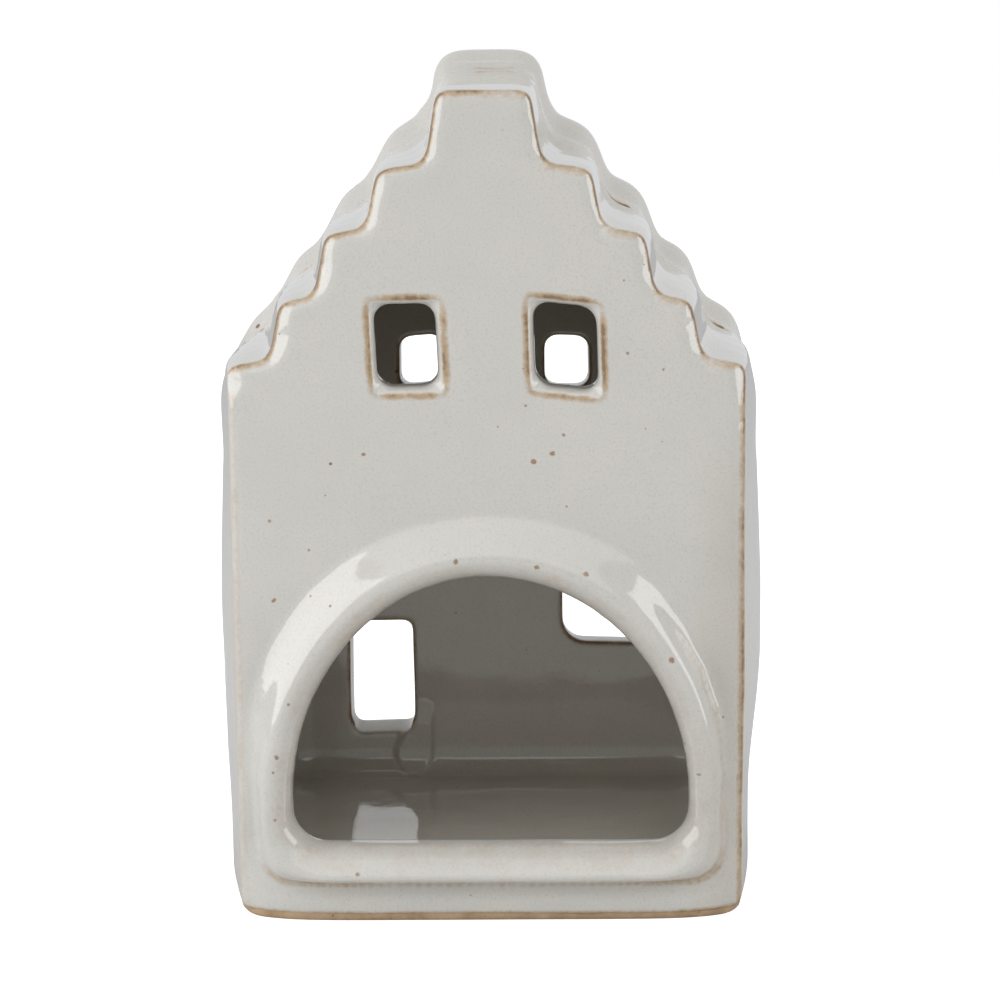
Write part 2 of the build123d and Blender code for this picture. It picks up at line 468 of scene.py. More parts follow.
def lies_inside(places, outline):
    """True for each place inside a closed outline."""
    inside = np.zeros(len(places), dtype=bool)
    across, height = places.T
    for (x1, z1), (x2, z2) in zip(outline, np.roll(outline, -1, axis=0)):
        if z1 != z2:
            crossing = x1 + (height - z1) / (z2 - z1) * (x2 - x1)
            inside ^= ((z1 > height) != (z2 > height)) & (across < crossing)
    return inside


def rim_softness(across, height):
    """1 where the rim blends into the front, left and above, and 0 where it ends in a crease."""
    right = smooth_rise(across, 8 * MM, 30 * MM)
    return smooth_rise(height, (12 + 30 * right) * MM, (40 + 22 * right) * MM)


def raise_rim(body):
    """Raises the roll around the mouth: round inside, soft above and crisp below."""
    points = points_of(body)
    x, y, z = points.T
    at_rim = (z < BLEND_TOP + MM) & (z > RIM_SILL - MM)
    chosen = np.flatnonzero((y < FRONT_FACE + 0.3 * MM) & at_rim)
    places = points[chosen][:, (0, 2)]
    from_mouth = nearest_gap(places, along_outline(mouth_outline()))
    inner = np.sqrt(np.clip(1 - (1 - from_mouth / RIM_CREST) ** 2, 0, 1))
    falls = []
    for outline in (along_outline(rim_outline()), along_outline(blend_outline())):
        width = from_mouth + nearest_gap(places, outline)
        fall = np.clip((from_mouth - RIM_CREST) / np.maximum(width - RIM_CREST, 0.6 * MM), 0, 1)
        falls.append(np.where(lies_inside(places, outline), fall, 1))
    crisp = np.power(1 - falls[0] ** 2.2, 0.9)
    gentle = 0.4 * (0.5 + 0.5 * np.cos(np.pi * falls[1])) + 0.6 * (1 - falls[1])
    soft = rim_softness(*places.T)
    outer = soft * gentle + (1 - soft) * crisp
    points[chosen, 1] -= RIM_PROUD * np.where(from_mouth < RIM_CREST, inner, outer)
    move_points(body, points)


def slanted(tool, opening):
    """Slants the edges of a cutting block as the opening's edges."""
    across, middle, _, _, rise, lean, _ = opening
    points = points_of(tool)
    x, _, z = points.T.copy()
    points[:, 2] += rise * (x - across)
    points[:, 0] += lean * (z - middle)
    move_points(tool, points)
    return tool


def tapered_block(name, low, high, outwards, middle, shrink):
    """A block with its inner face scaled about a middle, so that it widens outwards."""
    block = add_block(name, low, high)
    pick(block, "FACE", lambda flat: flat.normal.y * outwards < -0.9)
    bpy.ops.transform.resize(value=shrink, center_override=middle)
    back_to_object()
    return block


def cut_opening(body, opening, face, outwards, flare, flare_depth):
    """Cuts a rounded hole through a wall and opens its edge outwards in a sharp-cornered bevel."""
    across, middle, width, height, _, _, corner = opening
    reach = 2 * WALL
    low = (across - width / 2, face - reach, middle - height / 2)
    high = (across + width / 2, face + reach, middle + height / 2)
    hole = add_block("hole", low, high)
    round_edges(hole, runs_back, corner, 5)
    wide, tall = width / 2 + 2 * flare, height / 2 + 2 * flare
    low = (across - wide, face - flare_depth, middle - tall)
    high = (across + wide, face + flare_depth, middle + tall)
    shrink = (width / 2 / wide, 1, height / 2 / tall)
    bevel = tapered_block("bevel", low, high, outwards, (across, face, middle), shrink)
    for tool in (hole, bevel):
        combine(body, slanted(tool, opening), "DIFFERENCE")


def slope_sill(body, opening):
    """Lets the sill of a back hole fall towards the chamber."""
    across, middle, width, height = opening[:4]
    top = middle - height / 2 + 3 * MM
    deep = 2 * SILL_DROP + 3 * MM
    low = (across - 0.45 * width, 2 * BACK_INSIDE - BACK_FACE, top - deep)
    high = (across + 0.45 * width, BACK_FACE, top)
    wedge = tapered_block("wedge", low, high, -1, (across, BACK_FACE, top), (1, 1, 3 * MM / deep))
    combine(body, slanted(wedge, opening), "DIFFERENCE")


def mould_body():
    """The whole hollow body, with its rim and openings, before the clay is softened."""
    body = outer_block()
    hollow = chamber_block()
    combine(hollow, flared_mouth(), "UNION")
    mouth = arch_prism("mouth", mouth_outline(), FRONT_FACE - 3 * WALL, FRONT_INSIDE)
    combine(hollow, mouth, "UNION")
    combine(body, hollow, "DIFFERENCE")
    for window in FRONT_WINDOWS:
        cut_opening(body, window, FRONT_FACE, -1, WINDOW_FLARE, WINDOW_FLARE_DEPTH)
    for hole in BACK_HOLES:
        cut_opening(body, hole, BACK_FACE, 1, HOLE_FLARE, HOLE_FLARE_DEPTH)
    slope_sill(body, BACK_HOLES[2])
    add_modifier(body, "REMESH", mode="VOXEL", voxel_size=FIRST_GRAIN, use_smooth_shade=True)
    raise_rim(body)
    add_modifier(body, "REMESH", mode="VOXEL", voxel_size=CLAY_GRAIN, use_smooth_shade=True)
    return body


def paint_group(piece, name, weights):
    """A vertex group with a weight for each point, in steps of a twentieth."""
    group = piece.vertex_groups.new(name=name)
    levels = np.round(weights * 20).astype(int)
    for level in range(1, 21):
        group.add(np.flatnonzero(levels == level).tolist(), level / 20, "REPLACE")
    return name


def opening_sides(points, opening):
    """How far each point lies outside an opening's upright and level edges."""
    across, middle, width, height, rise, lean, _ = opening
    aside, above = points[:, 0] - across, points[:, 2] - middle
    return np.abs(aside - lean * above) - width / 2, np.abs(above - rise * aside) - height / 2


def opening_gap(points, opening, grown=0):
    """How far each point lies outside an opening's edge, seen from the front: negative inside it."""
    corner = 0.7 * MM if grown else opening[-1]
    aside, above = (side - grown + corner for side in opening_sides(points, opening))
    outside = np.hypot(np.maximum(aside, 0), np.maximum(above, 0))
    return outside + np.minimum(np.maximum(aside, above), 0) - corner


def near_openings(points, openings, margin):
    """1 at an opening's edge and inside it, falling to 0 a margin further out."""
    near = np.zeros(len(points))
    for opening in openings:
        near = np.maximum(near, 1 - smooth_rise(opening_gap(points, opening), 0.6 * margin, margin))
    return near


def rounded(corners, radius):
    """Places along a line of corners, with each corner turned into a short curve."""
    places = [np.array(corners[0])]
    for before, corner, after in zip(corners, corners[1:], corners[2:]):
        before, corner, after = (np.array(place) for place in (before, corner, after))
        start = corner + (before - corner) * radius / np.linalg.norm(before - corner)
        end = corner + (after - corner) * radius / np.linalg.norm(after - corner)
        for share in np.linspace(0, 1, 5):
            rest = 1 - share
            places.append(rest**2 * start + 2 * rest * share * corner + share**2 * end)
    places.append(np.array(corners[-1]))
    return places


def outline_gap(points):
    """How far each point lies from the stepped outline, and how upright the nearest edge is."""
    right = rounded([(FRONT_HALF, BODY_FOOT)] + step_corners() + [(0, RIDGE_HEIGHT)], STEP_ROUND)
    places = points[:, (0, 2)].copy()
    places[:, 0] = np.abs(places[:, 0])
    nearest = np.full(len(places), 1.0)
    upright = np.zeros(len(places))
    for start, end in zip(right, right[1:]):
        along = end - start
        share = np.clip((places - start) @ along / (along @ along), 0, 1)
        gap = places - start - share[:, None] * along
        distance = np.hypot(gap[:, 0], gap[:, 1])
        upright = np.where(distance < nearest, abs(along[1]) / np.abs(along).sum(), upright)
        nearest = np.minimum(nearest, distance)
    return nearest, smooth_rise(upright, 0.15, 0.85)


def cut_front_edge(body, gap, riser):
    """Takes the sharp edge off the front gable, unevenly: widest on the left risers."""
    points = points_of(body)
    x, y, z = points.T
    wall = 1 - smooth_rise(z, EAVE_HEIGHT - 7 * MM, EAVE_HEIGHT - 2.5 * MM)
    lower = 1 - smooth_rise(z, EAVE_HEIGHT, RIDGE_HEIGHT)
    on_left = 0.8 + 0.35 * riser - 0.85 * wall
    on_right = 0.8 + 0.3 * riser * (1 - wall)
    width = EDGE_CUT * (0.8 + 0.4 * lower) * np.where(x < 0, on_left, on_right)
    waves = np.sin(x / (1.5 * MM) + 1.3) * np.sin(z / (1.1 * MM) + 0.5)
    waves += 0.7 * np.sin((x - z) / (0.8 * MM))
    width *= 1 + 0.14 * waves * (1 - 0.8 * wall)
    cut = FRONT_FACE + EDGE_SLOPE * (width - gap)
    points[:, 1] = np.where((gap < width) & (y < cut), cut, y)
    move_points(body, points)


def band(value, start, end, soft):
    """1 between two values, with soft ends."""
    begins = smooth_rise(value, start - soft, start + soft)
    return begins * (1 - smooth_rise(value, end - soft, end + soft))


def edge_band(left, place, bands):
    """The band of thin glaze along one kind of edge, on the left and on the right."""
    sides = [thin * band(place, start, end, soft) for thin, start, end, soft in bands]
    return np.where(left, *sides)


def glaze_and_shade_bands(points, gap, riser):
    """Where the glaze ran thin: edges of the gable, windows and holes, and the crest of the rim; also
    painted shade in the crease around the rim and in the roof creases.
    """
    x, y, z = points.T
    left = x < 0
    across_edge = (y - FRONT_FACE - EDGE_SLOPE * gap) / MM
    under_eaves, over_eaves = np.where(left, 2, 8) * MM, np.where(left, 1, -1) * MM
    roof = smooth_rise(z, EAVE_HEIGHT - under_eaves, EAVE_HEIGHT + over_eaves)
    risers = edge_band(left, across_edge, RISER_BANDS)
    walls = edge_band(left, across_edge, WALL_BANDS)
    treads = edge_band(left, across_edge, TREAD_BANDS)
    thin = riser * (roof * risers + (1 - roof) * walls) + (1 - riser) * treads
    thin *= gap < 3.2 * MM
    on_face = y < FRONT_FACE + 0.4 * MM
    for window in FRONT_WINDOWS:
        outside = opening_gap(points, window, WINDOW_FLARE) / MM
        around = smooth_rise(outside, -0.3, 0.15) * (1 - smooth_rise(outside, 0.3, THIN_BAND / MM))
        aside, above = opening_sides(points, window)
        at_corner = smooth_rise(np.minimum(aside, above), -2.4 * MM, 0.2 * MM)
        thin = np.maximum(thin, 0.32 * around * (1 - 0.45 * at_corner) * on_face)
    at_inside = band(y / MM, BACK_INSIDE / MM - 0.6, BACK_INSIDE / MM + 1.0, 0.5)
    for hole in BACK_HOLES:
        at_edge = band(opening_gap(points, hole) / MM, -0.4, 0.3, 0.4)
        thin = np.maximum(thin, 0.40 * at_edge * at_inside)
    outer_face = (y < FRONT_FACE + MM) | (y > BACK_FACE - MM) | (np.abs(x) > FRONT_HALF - MM)
    thin = np.maximum(thin, 0.26 * (1 - smooth_rise(z, BODY_FOOT, BODY_FOOT + 1.2 * MM)) * outer_face)
    # A brown line with painted shade in the crease along the rim's crisp outer edge, stronger at the
    # right
    face = np.flatnonzero(y < FRONT_FACE + 0.3 * MM)
    places = points[face][:, (0, 2)]
    from_rim = nearest_gap(places, along_outline(rim_outline()))
    crease_line_and_shade = 1 - smooth_rise(from_rim, 0, 1.8 * MM)
    at_right = 0.09 + 0.08 * smooth_rise(places[:, 0], 24 * MM, 32 * MM)
    thin[face] = np.maximum(thin[face], crease_line_and_shade * at_right * (1 - rim_softness(*places.T)))
    # Painted shade, tinted brown, in the crease under the bottom of the rim
    beneath = 0.26 * (1 - smooth_rise(from_rim, 0.3 * MM, 1.7 * MM))
    beneath *= 1 - smooth_rise(places[:, 1], 8 * MM, 12 * MM)
    thin[face] = np.maximum(thin[face], beneath)
    ahead = np.flatnonzero(y < FRONT_FACE - MM)
    from_mouth = nearest_gap(points[ahead][:, (0, 2)], along_outline(mouth_outline()))
    thin[ahead] = np.maximum(thin[ahead], 0.09 * (1 - smooth_rise(from_mouth, 2.0 * MM, 4.8 * MM)))
    # Painted shade: the far side of each roof crease is darkened towards brown
    for crease in ROOF_CREASES:
        aside, behind = crease_place(points, crease)
        dark = band(behind, 0.05, 0.75, 0.15) * (1 - smooth_rise(np.abs(aside), 0.6, 0.95))
        brown = 0.17 + 0.25 * crease[-1] / MM
        thin = np.maximum(thin, brown * dark * (gap < 2 * MM) * (z > EAVE_HEIGHT - 4 * MM))
    return thin


def smooth_where(body, name, weights, passes):
    """Smooths the points of a body by their weights."""
    group = paint_group(body, name, weights)
    add_modifier(body, "SMOOTH", factor=0.5, iterations=passes, vertex_group=group)


def soften_clay(body, gap):
    """Turns the crisp block into worked clay: crisp in front, softer over the roof and behind."""
    add_modifier(body, "SMOOTH", factor=0.5, iterations=3)
    points = points_of(body)
    x, y, z = points.T
    ahead = 1 - smooth_rise(y, FRONT_FACE + 4 * MM, FRONT_FACE + 8 * MM)
    behind = smooth_rise(y, BACK_INSIDE - 6 * MM, BACK_INSIDE - 2 * MM)
    windows = near_openings(points, FRONT_WINDOWS, 5 * MM) * ahead
    holes = near_openings(points, BACK_HOLES, 6 * MM) * behind
    plain = (1 - windows) * (1 - holes)
    smooth_where(body, "plain", plain, 4)
    edge = 1 - smooth_rise(gap, 2.5 * MM, 4.5 * MM)
    edge *= 1 - smooth_rise(y, FRONT_FACE + 3 * MM, FRONT_FACE + 5 * MM)
    smooth_where(body, "edge", edge, 10)
    beside = smooth_rise(x, 24 * MM, 32 * MM) * (1 - smooth_rise(z, 56 * MM, 66 * MM))
    beneath = 1 - smooth_rise(z, 8.5 * MM, 11 * MM)
    crease = band(FRONT_FACE - y, -0.2 * MM, 4 * MM, 0.3 * MM) * np.maximum(beside, beneath)
    smooth_where(body, "crease", crease, 12)
    roll = smooth_rise(FRONT_FACE - y, 0.3 * MM, 1.2 * MM)
    roll *= smooth_rise(z - 0.8 * x, 20 * MM, 40 * MM)
    smooth_where(body, "roll", roll, 14)
    depth = smooth_rise(y, FRONT_FACE + 2.5 * MM, FRONT_FACE + 24 * MM)
    roof = smooth_rise(z, 84 * MM, 94 * MM)
    rear = smooth_rise(y, BACK_FACE - 6 * MM, BACK_FACE - 1 * MM)
    side = smooth_rise(np.abs(x), 36 * MM, 40 * MM)
    soft = depth * np.maximum(roof, rear * side) * (1 - holes)
    smooth_where(body, "soft", soft, 130)
    body.vertex_groups.clear()


def crease_place(points, crease):
    """Where each point lies in a crease, across and from front to back, as shares of its half size."""
    across, place, half_length, half_width, _ = crease
    return (points[:, 0] - across) / half_length, (points[:, 1] - place) / half_width


def press_creases(body, outer):
    """Dents the roof along its creases."""
    points = points_of(body)
    high = smooth_rise(points[:, 2], EAVE_HEIGHT - 8 * MM, EAVE_HEIGHT - 4 * MM)
    for crease in ROOF_CREASES:
        aside, behind = crease_place(points, crease)
        dent = 1 - smooth_rise(np.hypot(aside, behind), 0.15, 1.0)
        points[:, 2] -= crease[-1] * dent * outer * high
    move_points(body, points)


def settle_roof(body, outer):
    """Melts the steps towards the back, and sinks the roof in front of the back gable."""
    points = points_of(body)
    x, y, z = points.T
    ridge, eave = np.array((RIDGE_HALF, RIDGE_HEIGHT)), np.array((FRONT_HALF, EAVE_HEIGHT))
    length = np.linalg.norm(eave - ridge)
    along = (eave - ridge) / length
    outwards = np.array((-along[1], along[0]))
    places = np.stack((np.abs(x), z), axis=1) - ridge
    down, out = places @ along, places @ outwards
    zone = smooth_rise(down, 2 * MM, 10 * MM)
    zone = zone * (1 - smooth_rise(down, length + 3 * MM, length + 16 * MM))
    low = 1 + 0.45 * smooth_rise(down, 0.8 * length, length)
    melt = np.where(x < 0, MELT_LEFT, MELT_RIGHT) * low
    melt = melt * smooth_rise(y, FRONT_FACE + 6 * MM, BACK_INSIDE)
    shift = -(out + 2.9 * MM) * melt * zone * outer
    points[:, 0] += shift * outwards[0] * np.sign(x)
    points[:, 2] += shift * outwards[1]

    normals = np.empty(points.size)
    body.data.vertices.foreach_get("normal", normals)
    normals = normals.reshape(-1, 3)
    high = smooth_rise(z, 84 * MM, 94 * MM)
    sunk = smooth_rise(y, FRONT_FACE + 1 * MM, 20 * MM) * (1 - smooth_rise(y, 20.5 * MM, 25 * MM))
    rise = BACK_RISE * smooth_rise(y, 20 * MM, 26 * MM) - TREAD_SAG * sunk
    wider = 0.8 * MM * smooth_rise(y, FRONT_FACE + 2 * MM, 10 * MM)
    points[:, 0] += (0.5 * rise * high + wider) * outer * normals[:, 0]
    points[:, 2] += rise * high * outer * normals[:, 2]
    move_points(body, points)


def slump(body):
    """Bows the side walls out and swells the plinth forwards."""
    points = points_of(body)
    x, y, z = points.T
    share = np.clip((y - FRONT_FACE) / (BACK_FACE - FRONT_FACE), 0, 1)
    bow = 4 * share * (1 - share)
    middle = (FOOT_TOP + EAVE_HEIGHT) / 2
    lower = FOOT_BOW_SHARE + (1 - FOOT_BOW_SHARE) * smooth_rise(z, FOOT_TOP, middle)
    upper = 1 - (1 - EAVE_BOW_SHARE) * smooth_rise(z, middle, EAVE_HEIGHT)
    drawn_in = 1 - 0.4 * (1 - smooth_rise(z, 16 * MM, 40 * MM)) * (x > 0)
    points[:, 0] += WALL_BOW * np.minimum(lower, upper) * drawn_in * bow * x / FRONT_HALF
    front = 1 - smooth_rise(y, FRONT_FACE, FRONT_INSIDE + 4 * MM)
    round_plan = 1 - np.clip(np.abs(x) / FRONT_HALF, 0, 1) ** 8
    points[:, 1] -= PLINTH_SWELL * front * round_plan * (1 - smooth_rise(z, 3 * MM, 15 * MM))
    move_points(body, points)


def run_drip(body):
    """A tongue of glaze that ran down the inner back wall beside the low hole."""
    points = points_of(body)
    start, end = np.array((-12.6, 24.0)) * MM, np.array((-15.0, 13.6)) * MM
    places = points[:, (0, 2)]
    along = end - start
    share = np.clip((places - start) @ along / (along @ along), 0, 1)
    gap = np.linalg.norm(places - start - share[:, None] * along, axis=1)
    radius = (1.2 + 2.4 * share**0.8) * MM
    on_wall = np.abs(points[:, 1] - BACK_INSIDE) < 3.5 * MM
    thick = 0.9 * MM * smooth_rise(share, 0, 0.5) * on_wall
    points[:, 1] -= thick * (1 - smooth_rise(gap, radius - 0.6 * MM, radius + 0.3 * MM))
    move_points(body, points)


def roughen(body):
    """Slow waves that a hand leaves in soft clay."""
    waves = bpy.data.textures.new("hand_waves", "CLOUDS")
    waves.noise_scale = WAVE_LENGTH
    add_modifier(
        body, "DISPLACE", texture=waves, strength=WAVE_HEIGHT, mid_level=0.5, texture_coords="LOCAL",
    )


def mark_thin_glaze(body, bands):
    """Stores where the glaze is thin, on the marked bands and wherever the clay stands out, together
    with the painted shade that the bands carry in the creases.
    """
    mesh = body.data
    count = len(mesh.vertices)
    ends = np.empty(len(mesh.edges) * 2, dtype=np.int64)
    mesh.edges.foreach_get("vertices", ends)
    ends = ends.reshape(-1, 2)
    first = np.concatenate((ends[:, 0], ends[:, 1]))
    second = np.concatenate((ends[:, 1], ends[:, 0]))
    neighbours = np.maximum(np.bincount(first, minlength=count), 1)[:, None]
    points = points_of(body)
    around = points.copy()
    for _ in range(10):
        sums = [np.bincount(first, around[second, axis], count) for axis in range(3)]
        around = 0.5 * around + 0.5 * np.stack(sums, axis=1) / neighbours
    normals = np.empty(count * 3)
    mesh.vertices.foreach_get("normal", normals)
    stands_out = ((points - around) * normals.reshape(-1, 3)).sum(axis=1) / MM
    thin = mesh.attributes.new("thin_glaze_and_shade", "FLOAT", "POINT")
    thin.data.foreach_set("value", (bands + 0.5 * stands_out).astype(np.float32))


def mark_painted_shade(body, gap, fresh):
    """Stores painted shade: 1 in the chamber, less on the left wall and the right edge, where the
    colour is darkened and warmed in place of shade.
    """
    across, depth, height = fresh.T
    ahead = smooth_rise(depth, FRONT_FACE + 2 * MM, FRONT_INSIDE + MM)
    behind = 1 - smooth_rise(depth, BACK_INSIDE - MM, BACK_FACE - 2 * MM)
    # Painted shade in the chamber
    inside = ahead * behind * (gap > 0.7 * WALL) * (height > FLOOR_TOP - 2 * MM)
    skin = 1 - smooth_rise(gap, 1 * MM, 2.5 * MM)
    skin *= 1 - smooth_rise(height, EAVE_HEIGHT - 5 * MM, EAVE_HEIGHT)
    past_edge = smooth_rise(depth, FRONT_FACE + 0.2 * MM, FRONT_FACE + 1.2 * MM)
    # Painted shade on the left wall's outer skin, and low on the front's right edge
    left = (across < 0) * skin * past_edge * behind
    low = 1 - smooth_rise(height, 60 * MM, 95 * MM)
    right = smooth_rise(across, 32 * MM, 42 * MM) * low * (depth < FRONT_FACE + 0.5 * MM)
    inside = np.maximum(inside, np.maximum(0.7 * left, 0.5 * right))
    marks = body.data.attributes.new("inside", "FLOAT", "POINT")
    marks.data.foreach_set("value", inside.astype(np.float32))


def trim(piece, point, normal):
    """Cuts a piece by a plane, keeps the side that the normal points to, and closes the cut."""
    only(piece)
    bpy.ops.object.mode_set(mode="EDIT")
    bpy.ops.mesh.select_all(action="SELECT")
    bpy.ops.mesh.bisect(
        plane_co=point, plane_no=normal, use_fill=True, clear_inner=True, threshold=0.0001 * MM,
    )
    back_to_object()


def parted(piece, name, point, normal):
    """Parts a piece by a plane. The side that the normal points to becomes a new piece."""
    taken = copy_of(piece, name)
    trim(taken, point, normal)
    trim(piece, point, [-value for value in normal])
    return taken


def marks_of(piece):
    """The stored glaze and painted-shade marks of each point, by name."""
    marks = {}
    for name in ("thin_glaze_and_shade", "inside"):
        values = np.empty(len(piece.data.vertices), dtype=np.float32)
        piece.data.attributes[name].data.foreach_get("value", values)
        marks[name] = values
    return marks


def carry_marks(piece, points, marks):
    """Gives each point of a cut piece the glaze and painted-shade marks of the nearest point before
    the cut.
    """
    tree = KDTree(len(points))
    for index, point in enumerate(points):
        tree.insert(point, index)
    tree.balance()
    nearest = [tree.find(vertex.co)[1] for vertex in piece.data.vertices]
    for name, values in marks.items():
        piece.data.attributes[name].data.foreach_set("value", values[nearest])


def part_sections(body):
    """Parts the finished body at the joints of its clay sections."""
    front = parted(body, "front_gable_dressed", (0, FRONT_INSIDE + SEAM_CLEAR, 0), (0, -1, 0))
    back = parted(body, "back_gable_dressed", (0, BACK_INSIDE - SEAM_CLEAR, 0), (0, 1, 0))
    points, marks = points_of(front), marks_of(front)
    rim = copy_of(front, "arch_rim_dressed")
    ahead, within = FRONT_FACE - 2 * WALL, FRONT_FACE + 0.33 * WALL
    around = arch_prism("around", rim_outline(RIM_JOINT), ahead, within)
    combine(rim, copy_of(around, "around_rim"), "INTERSECT")
    combine(front, around, "DIFFERENCE")
    for piece in (front, rim):
        carry_marks(piece, points, marks)
    sections = {"front_gable": front, "back_gable": back, "arch_rim": rim}

    # A diagonal joint runs inwards from the foot of each riser, and the floor is mitred to the walls
    joints = step_corners()[-2::-2]
    across, height = joints[0]
    ridge = copy_of(body, "ridge_cap_dressed")
    bed = copy_of(body, "floor_slab_dressed")
    for side, way in (("right", 1), ("left", -1)):
        trim(ridge, (way * across, 0, height), (-way, 0, 1))
        trim(bed, (way * FLOOR_MITRE, 0, 0), (-way, 0, -1))
        half = copy_of(body, f"{side}_step_1_dressed")
        trim(half, (0, 0, 0), (way, 0, 0))
        trim(half, (way * FLOOR_MITRE, 0, 0), (way, 0, 1))
        trim(half, (way * across, 0, height), (way, 0, -1))
        for step, name in enumerate(("step_2", "step_3", "wall"), 1):
            point = (way * joints[step][0], 0, joints[step][1])
            below = parted(half, f"{side}_{name}_dressed", point, (way, 0, -1))
            sections[f"{side}_step_{step}"] = half
            half = below
        sections[f"{side}_wall"] = half
    sections["ridge_cap"] = ridge
    sections["floor_slab"] = bed
    bpy.data.objects.remove(body)
    return sections


def bare_foot():
    """The unglazed ring that the house stands on, a little smaller than the body."""
    half = FRONT_HALF - FOOT_INSET
    near, far = FRONT_FACE + FOOT_INSET, BACK_FACE - FOOT_INSET
    ring = add_block("foot_ring_dressed", (-half, near, 0), (half, far, FOOT_TOP + FOOT_OVERLAP))
    upright = lambda start, end: same(start.x, end.x) and same(start.y, end.y)
    round_edges(ring, upright, FOOT_CORNER, 5)
    lower = lambda start, end: same(start.z, 0) and same(end.z, 0)
    round_edges(ring, lower, FOOT_ROUND, 3)
    inner = (half - FOOT_WIDTH, near + FOOT_WIDTH, far - FOOT_WIDTH)
    hole = add_block("hole", (-inner[0], inner[1], -MM), (inner[0], inner[2], 2 * FOOT_TOP))
    round_edges(hole, upright, FOOT_CORNER, 5)
    combine(ring, hole, "DIFFERENCE")
    add_modifier(ring, "REMESH", mode="VOXEL", voxel_size=FOOT_GRAIN, use_smooth_shade=True)
    add_modifier(ring, "SMOOTH", factor=0.5, iterations=3)
    slump(ring)
    return ring


body = mould_body()
fresh = points_of(body)
edge_gap, on_riser = outline_gap(fresh)
outer_skin = 1 - smooth_rise(edge_gap, 2 * MM, 4 * MM)
bands = glaze_and_shade_bands(fresh, edge_gap, on_riser)
cut_front_edge(body, edge_gap, on_riser)
soften_clay(body, edge_gap)
settle_roof(body, outer_skin)
press_creases(body, outer_skin)
slump(body)
run_drip(body)
roughen(body)
mark_thin_glaze(body, bands)
mark_painted_shade(body, edge_gap, fresh)
sections = part_sections(body)
sections["foot_ring"] = bare_foot()


def aim_camera():
    """Puts the camera where the photograph was taken from."""
    pitch, yaw, roll = CAMERA_PITCH, CAMERA_YAW, CAMERA_ROLL
    forward = Vector((sin(yaw) * cos(pitch), cos(yaw) * cos(pitch), -sin(pitch)))
    right = Vector((cos(yaw), -sin(yaw), 0))
    up = right.cross(forward)
    turned_right = cos(roll) * right + sin(roll) * up
    turned_up = cos(roll) * up - sin(roll) * right
    bpy.ops.object.camera_add()
    camera = bpy.context.object
    axes = Matrix((turned_right, turned_up, -forward)).transposed().to_4x4()
    camera.matrix_world = Matrix.Translation(CAMERA_PLACE) @ axes
    camera.data.sensor_width = 36
    camera.data.lens = CAMERA_LENS
    camera.data.clip_start = 0.01
    bpy.context.scene.camera = camera


def add_softbox(name, place, width, height, power):
    direction = Vector(LAMP_TARGET) - Vector(place)
    turn = direction.to_track_quat("-Z", "Y").to_euler()
    bpy.ops.object.light_add(type="AREA", location=place, rotation=turn)
    lamp = bpy.context.object
    lamp.name = name
    lamp.data.shape = "RECTANGLE"
    lamp.data.size = width
    lamp.data.size_y = height
    lamp.data.energy = power


def add_node(tree, kind, settings=None, **inputs):
    node = tree.nodes.new(kind)
    for setting, value in (settings or {}).items():
        setattr(node, setting, value)
    for socket, value in inputs.items():
        node.inputs[socket.replace("_", " ")].default_value = value
    return node


def wire(tree, source, target):
    tree.links.new(source, target)


def mixed(tree, amount, first, second, blend="MIX"):
    """Mixes two colours, each a socket or a plain colour, by an amount from a socket or a number."""
    mix = add_node(tree, "ShaderNodeMix", {"data_type": "RGBA", "blend_type": blend})
    for value, socket in ((amount, mix.inputs[0]), (first, mix.inputs[6]), (second, mix.inputs[7])):
        if isinstance(value, bpy.types.NodeSocket):
            wire(tree, value, socket)
        else:
            socket.default_value = value
    return mix.outputs[2]


def rising(tree, value, start, end):
    """Maps a socket's value from 0 at start to 1 at end, with soft ends."""
    ramp = add_node(tree, "ShaderNodeMapRange", {"interpolation_type": "SMOOTHSTEP"})
    ramp.inputs["From Min"].default_value = start
    ramp.inputs["From Max"].default_value = end
    wire(tree, value, ramp.inputs["Value"])
    return ramp.outputs["Result"]


def calculated(tree, operation, first, second):
    node = add_node(tree, "ShaderNodeMath", {"operation": operation})
    for value, socket in ((first, node.inputs[0]), (second, node.inputs[1])):
        if isinstance(value, bpy.types.NodeSocket):
            wire(tree, value, socket)
        else:
            socket.default_value = value
    return node.outputs[0]


def noise(tree, place, scale, detail=2.0, roughness=0.5):
    node = add_node(tree, "ShaderNodeTexNoise", Scale=scale, Detail=detail, Roughness=roughness)
    wire(tree, place, node.inputs["Vector"])
    return node.outputs["Fac"]


def specks(tree, place, scale, radius):
    """Scattered round dots of uneven size: 1 inside a dot, 0 outside."""
    cells = add_node(tree, "ShaderNodeTexVoronoi", Scale=scale)
    wire(tree, place, cells.inputs["Vector"])
    shade = add_node(tree, "ShaderNodeSeparateColor")
    wire(tree, cells.outputs["Color"], shade.inputs[0])
    size = calculated(tree, "MULTIPLY", calculated(tree, "POWER", shade.outputs[0], 3.0), radius)
    edge = calculated(tree, "SUBTRACT", size, cells.outputs["Distance"])
    return rising(tree, edge, 0.0, 0.25 * radius)


